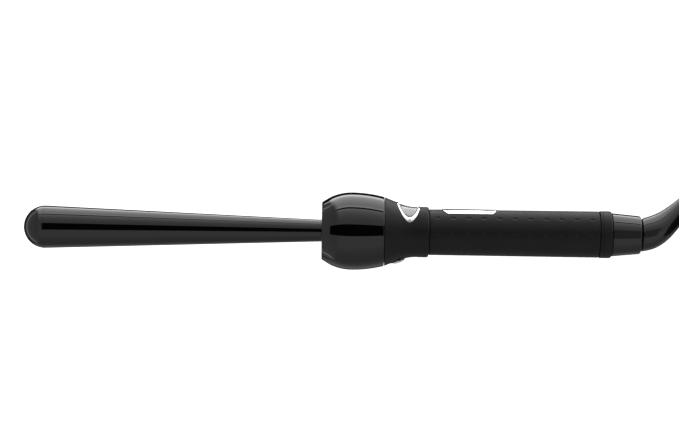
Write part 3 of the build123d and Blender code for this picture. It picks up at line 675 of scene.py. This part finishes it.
def make_cap():
    """A tapered cup with a stepped bore and a hole for the boot in its floor."""
    mouth_r, bore_front_r, bore_rear_r, hole_r = 10.5, 9.6, 9.4, 5.0
    step_x, floor_x = 176.2, 185.4
    outline = rounded([(CAP_START_X, mouth_r, 0), (CAP_START_X, CAP_FRONT_R, 0.25),
                       (CAP_END_X, CAP_REAR_R, 1.35), (CAP_END_X, hole_r, 0.3), (floor_x, hole_r, 0),
                       (floor_x, bore_rear_r, 0), (step_x, bore_front_r, 0), (step_x, mouth_r, 0)])
    piece("end_cap_skin", lathe(outline), "wand", "cap_satin", "end_cap")


# ---- boot, cord and plug ----

def bezier(points, t):
    """The point at that share of a curve with four control points."""
    a, b, c, d = (Vector(p) for p in points)
    s = 1 - t
    return a * s**3 + b * 3 * s**2 * t + c * 3 * s * t**2 + d * t**3


def bezier_direction(points, t):
    """The curve's direction there."""
    a, b, c, d = (Vector(p) for p in points)
    s = 1 - t
    return ((b - a) * s**2 + (c - b) * 2 * s * t + (d - c) * t**2).normalized()


def smooth_value(knots, t):
    """A smooth curve through (t, value) knots."""
    for i in range(len(knots) - 1):
        (t0, v0), (t1, v1) = knots[i], knots[i + 1]
        if t <= t1:
            break
    before, after = knots[max(i - 1, 0)], knots[min(i + 2, len(knots) - 1)]
    slope_0 = (v1 - before[1]) / (t1 - before[0])
    slope_1 = (after[1] - v0) / (after[0] - t0)
    span, s = t1 - t0, (t - t0) / (t1 - t0)
    return (v0 * (2 * s**3 - 3 * s**2 + 1) + slope_0 * span * (s**3 - 2 * s**2 + s)
            + v1 * (3 * s**2 - 2 * s**3) + slope_1 * span * (s**3 - s**2))


def circle_row(centre, direction, radius, steps=96):
    """A ring of points about a direction that never points along Y."""
    across = Vector((0, 1, 0)).cross(direction).normalized()
    other = direction.cross(across)
    return [tuple(centre + (across * cos(2 * pi * i / steps) + other * sin(2 * pi * i / steps)) * radius)
            for i in range(steps)]


def make_boot():
    """A bent taper with a rounded base and tip, whose first rows stay square to the wand's axis."""
    base_r, base_round, neck_r = BOOT_RADII[0][1], 0.5, 4.3
    steps, square_share = 56, 0.15
    start = Vector(BOOT_CURVE[0])
    along_x = Vector((1, 0, 0))
    rows = [circle_row(start, along_x, neck_r), circle_row(start, along_x, base_r - base_round)]
    for i in range(1, 5):
        turn = pi / 2 * i / 5
        rows.append(circle_row(start + along_x * base_round * (1 - cos(turn)), along_x,
                               base_r - base_round * (1 - sin(turn))))
    for i in range(2, steps + 1):
        t = i / steps
        turned = min(1.0, t / square_share)
        direction = along_x.lerp(bezier_direction(BOOT_CURVE, t), turned).normalized()
        rows.append(circle_row(bezier(BOOT_CURVE, t), direction, smooth_value(BOOT_RADII, t)))
    end, direction = Vector(BOOT_CURVE[-1]), bezier_direction(BOOT_CURVE, 1)
    rows.append(circle_row(end + direction * 0.35, direction, BOOT_RADII[-1][1] - 0.2))
    rows.append(circle_row(end + direction * 0.5, direction, BOOT_RADII[-1][1] - 0.5))
    return piece("boot_skin", skin(rows, wrap_columns=True, caps=True), "swivel", "boot_rubber",
                 "strain_relief_boot")


def oval_spots():
    """One clockwise turn's spots: each one's place along the run, its angle, and whether it is on a fold."""
    top = [(share * COIL_RUN / 3, 90, False) for share in (-1, 0, 1)]
    right = [(COIL_RUN / 2, angle, True) for angle in (75, 45, 15, -15, -45, -75)]
    bottom = [(-x, -90, False) for x, _, _ in top]
    left = [(-COIL_RUN / 2, angle, True) for angle in (-105, -135, -165, 165, 135, 105)]
    return top + right + bottom + left


def coil_points():
    """Oval turns in layers that wind inwards and outwards by turns, each a cord's width above the last.

    A point on a fold stands out a little, as a corner, so that the spline keeps to the turn's radius.
    """
    spots = oval_spots()
    turns_per_layer = COIL_TURNS / COIL_LAYERS
    half_fold_step, climb = radians(15), 0.25
    points = []
    for i in range(COIL_TURNS * len(spots) - 1):
        turn = (i + 1) / len(spots)
        layer = min(int(turn / turns_per_layer), COIL_LAYERS - 1)
        within = turn - layer * turns_per_layer
        wound = within if layer % 2 == 0 else turns_per_layer - within
        along, angle, on_fold = spots[i % len(spots)]
        radius = (COIL_R - 2 * CORD_R * wound) / (cos(half_fold_step) if on_fold else 1)
        climbed = layer - 1 + min(1.0, within / climb) if layer else 0
        x, y = along + radius * cos(radians(angle)), radius * sin(radians(angle))
        points.append(COIL_CENTRE + Vector((x, y, COIL_FLOOR + 2 * CORD_R * climbed)))
    return points


def make_cord():
    """The lead, the coil and the tail to the plug, as one smooth spline."""
    points = [Vector(p) for p in LEAD_ROUTE] + coil_points() + [Vector(p) for p in TAIL_ROUTE]
    curve = bpy.data.curves.new("mains_cord", "CURVE")
    curve.dimensions = "3D"
    curve.bevel_depth = CORD_R
    curve.bevel_resolution = 5
    curve.use_fill_caps = True
    spline = curve.splines.new("NURBS")
    spline.points.add(len(points) - 1)
    for spot, point in zip(spline.points, points):
        spot.co = (*point, 1)
    spline.order_u = 3
    spline.use_endpoint_u = True
    spline.resolution_u = 5
    curve.materials.append(materials["cord_vinyl"])
    cord = bpy.data.objects.new("mains_cord", curve)
    bpy.context.scene.collection.objects.link(cord)
    return settle(cord, "swivel", "cord_vinyl", "cord_lead", "cord_coil", "cord_tail")


def make_tie():
    """A hook-and-loop strap round the bundle of turns."""
    low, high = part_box("cord_coil")
    bundle_height = (high.z - low.z) / MM + 0.2
    place = (Matrix.Translation(COIL_CENTRE + Vector((0, 0, (low.z + high.z) / 2)))
             @ Matrix.Rotation(radians(TIE_ANGLE), 4, "Z") @ Matrix.Translation((BUNDLE_MIDDLE_R * MM, 0, 0))
             @ Matrix.Scale(MM, 4))
    across, up = BUNDLE_WIDTH / 2 - BUNDLE_CORNER_R, bundle_height / 2 - BUNDLE_CORNER_R
    eased = 0.6
    rows = []
    for side, lift in ((-1, 0), (-1, eased), (-0.9, TIE_THICK), (0.9, TIE_THICK), (1, eased), (1, 0)):
        radius = BUNDLE_CORNER_R + lift
        loop = []
        for k, (sx, sz) in enumerate(((1, 1), (-1, 1), (-1, -1), (1, -1))):
            for i in range(9):
                a = radians(90 * k + 90 * i / 8)
                loop.append((sx * across + radius * cos(a), side * TIE_WIDTH / 2, sz * up + radius * sin(a)))
        rows.append(loop)
    return piece("tie_skin", skin(rows, wrap_rows=True, wrap_columns=True), "swivel", "tie_fabric",
                 "cord_tie", place=place)


def plug_section(half_width, half_height, power, along, steps=72):
    """A ring between an ellipse (power 2) and a rounded rectangle (power 5), that far along the plug."""
    row = []
    for i in range(steps):
        a = 2 * pi * i / steps
        x = half_width * copysign(abs(cos(a)) ** (2 / power), cos(a))
        z = half_height * copysign(abs(sin(a)) ** (2 / power), sin(a))
        row.append((x, -along, z))
    return row


def plug_neck(length):
    """A slowly widening neck with ribs round it."""
    rib_pitch, rib_width, rib_height = 2.4, 1.3, 0.45
    rows = [plug_section(3.3, 3.3, 2, -0.1)]
    for i in range(25):
        along = length * i / 24
        rib = rib_height if along % rib_pitch < rib_width and along > 0.8 else 0
        rows.append(plug_section(4.1 + along * 0.08 + rib, 4.1 + along * 0.06 + rib, 2, along))
    return rows


def make_plug():
    """A moulded plug: a ribbed neck that swells into a flat body with finger grooves."""
    neck, swell, body_start, body = 12, 4.5, 16.8, 20.2
    grip_start, grip_end, grooves, groove_depth = 19, 34, 5, 0.5
    rows = plug_neck(neck)
    for i in range(1, 11):
        t = i / 10
        ease = t * t * (3 - 2 * t)
        rows.append(plug_section(5.1 + 6.7 * ease, 4.9 + 2.0 * ease, 2 + 2.5 * t, neck + swell * t))
    for i in range(41):
        along = body_start + body * i / 40
        wave = sin((along - grip_start) / (grip_end - grip_start) * grooves * pi)
        groove = groove_depth * max(0.0, wave) if grip_start < along < grip_end else 0
        rows.append(plug_section(11.9 - groove, 6.95, 4.6, along))
    rows += [plug_section(11.75, 6.8, 4.6, 37.5), plug_section(11.3, 6.35, 4.6, 37.9),
             plug_section(10.6, 5.7, 4.4, 38.0)]
    place = (Matrix.Translation(Vector(TAIL_ROUTE[-1])) @ Matrix.Rotation(radians(PLUG_HEADING + 90), 4, "Z")
             @ Matrix.Scale(MM, 4))
    return piece("plug_skin", skin(rows, wrap_columns=True, caps=True), "swivel", "cord_vinyl", "plug_body",
                 place=place)


# ---- studio ----

def make_camera():
    """A camera square to the wand's axis, rolled a little about its own."""
    data = bpy.data.cameras.new("camera")
    data.sensor_width = SENSOR
    data.lens = SENSOR * CAMERA_DISTANCE / VIEW_WIDTH
    camera = bpy.data.objects.new("camera", data)
    right, up, back = Vector((1, 0, 0)), Vector((0, 0, 1)), Vector((0, -1, 0))
    turn = (WAND.to_3x3() * (1 / MM)) @ Matrix((right, up, back)).transposed()
    turn = turn @ Matrix.Rotation(radians(CAMERA_ROLL), 3, "Z")
    camera.matrix_world = turn.to_4x4()
    camera.location = WAND @ Vector((CAMERA_X, -CAMERA_DISTANCE, CAMERA_Z))
    bpy.context.scene.collection.objects.link(camera)
    bpy.context.scene.camera = camera


def math_node(tree, operation, *values):
    """The result of one sum on other nodes' values."""
    node = tree.nodes.new("ShaderNodeMath")
    node.operation = operation
    for socket, value in zip(node.inputs, values):
        tree.links.new(value, socket)
    return node.outputs["Value"]


def gradient(tree, value, low, high, stops):
    """Light strengths at stops between low and high, as a grey share of the brightest."""
    strengths = tree.nodes.new("ShaderNodeValToRGB")
    for i, (place, strength) in enumerate(stops):
        stop = strengths.color_ramp.elements[i] if i < 2 else strengths.color_ramp.elements.new(1.0)
        stop.position = (place - low) / (high - low)
        stop.color = (*(strength / BRIGHTEST,) * 3, 1)
    tree.links.new(map_range(tree, value, low, high), strengths.inputs["Fac"])
    return strengths.outputs["Color"]


def studio_light(tree):
    """The light from every direction, as a grey share of the brightest."""
    place = tree.nodes.new("ShaderNodeTexCoord")
    parts = tree.nodes.new("ShaderNodeSeparateXYZ")
    tree.links.new(place.outputs["Generated"], parts.inputs["Vector"])
    angle = math_node(tree, "ARCTAN2", parts.outputs["Y"], parts.outputs["Z"])
    around = gradient(tree, math_node(tree, "DEGREES", angle), -180, 180, STUDIO)
    wall = gradient(tree, parts.outputs["Z"], -1, 1, LEFT_WALL)
    both = tree.nodes.new("ShaderNodeMix")
    both.data_type = "RGBA"
    tree.links.new(map_range(tree, parts.outputs["X"], LEFT_START, LEFT_END), both.inputs["Factor"])
    tree.links.new(around, both.inputs["A"])
    tree.links.new(wall, both.inputs["B"])
    return both.outputs["Result"]


def make_world():
    """The studio's light for every ray but the camera's own, which find plain white."""
    world = bpy.data.worlds.new("studio")
    bpy.context.scene.world = world
    world.use_nodes = True
    tree = world.node_tree
    tree.nodes.clear()
    studio = tree.nodes.new("ShaderNodeBackground")
    studio.inputs["Strength"].default_value = BRIGHTEST
    tree.links.new(studio_light(tree), studio.inputs["Color"])
    plain = tree.nodes.new("ShaderNodeBackground")
    plain.inputs["Color"].default_value = (1, 1, 1, 1)
    path = tree.nodes.new("ShaderNodeLightPath")
    mix = tree.nodes.new("ShaderNodeMixShader")
    output = tree.nodes.new("ShaderNodeOutputWorld")
    tree.links.new(path.outputs["Is Camera Ray"], mix.inputs["Fac"])
    tree.links.new(studio.outputs["Background"], mix.inputs[1])
    tree.links.new(plain.outputs["Background"], mix.inputs[2])
    tree.links.new(mix.outputs["Shader"], output.inputs["Surface"])


def make_flags():
    """A black card over the wand and a grey one over its end, which the camera sees only in reflections."""
    make_card("flag", -0.198, 0.16, -0.040, 0.056, 0.0)
    make_card("grey_flag", 0.16, 0.36, -0.065, 0.085, 0.3)


def stage_sheet(name, low_x, high_x, low_y, high_y, height, colour, strength):
    """A level rectangle of the set, not of the wand, that glows with that strength and doesn't shine."""
    mesh = bpy.data.meshes.new(name)
    mesh.from_pydata([(low_x, low_y, height), (high_x, low_y, height), (high_x, high_y, height),
                      (low_x, high_y, height)], [], [(0, 1, 2, 3)])
    mesh.materials.append(material(name, colour, 1.0, Specular_IOR_Level=0.0, Emission_Color=(1, 1, 1, 1),
                                   Emission_Strength=strength))
    sheet = bpy.data.objects.new(name, mesh)
    bpy.context.scene.collection.objects.link(sheet)
    return sheet


def make_card(name, low_x, high_x, low_y, high_y, strength):
    """A card that casts no shadow and shows only in reflections."""
    card = stage_sheet(name, low_x, high_x, low_y, high_y, CARD_HEIGHT, (0.002, 0.002, 0.002), strength)
    card.visible_camera = False
    card.visible_shadow = False
    card.visible_diffuse = False


def make_floor():
    """A plain white floor that is lit evenly and doesn't show in reflections."""
    half = 3.0
    floor = stage_sheet("floor", -half, half, -half, half, 0, (0.8, 0.8, 0.8), 0.9)
    floor.visible_glossy = False


paint_cad_nodes()
make_camera()
make_world()
make_floor()
make_flags()
make_barrel()
make_guard()
make_bezel()
make_rocker()
make_mode_button()
make_grip()
make_badge()
make_ring()
make_cap()
boot = make_boot()
cord = make_cord()
tie = make_tie()
plug = make_plug()
bpy.context.scene.view_settings.view_transform = "Standard"
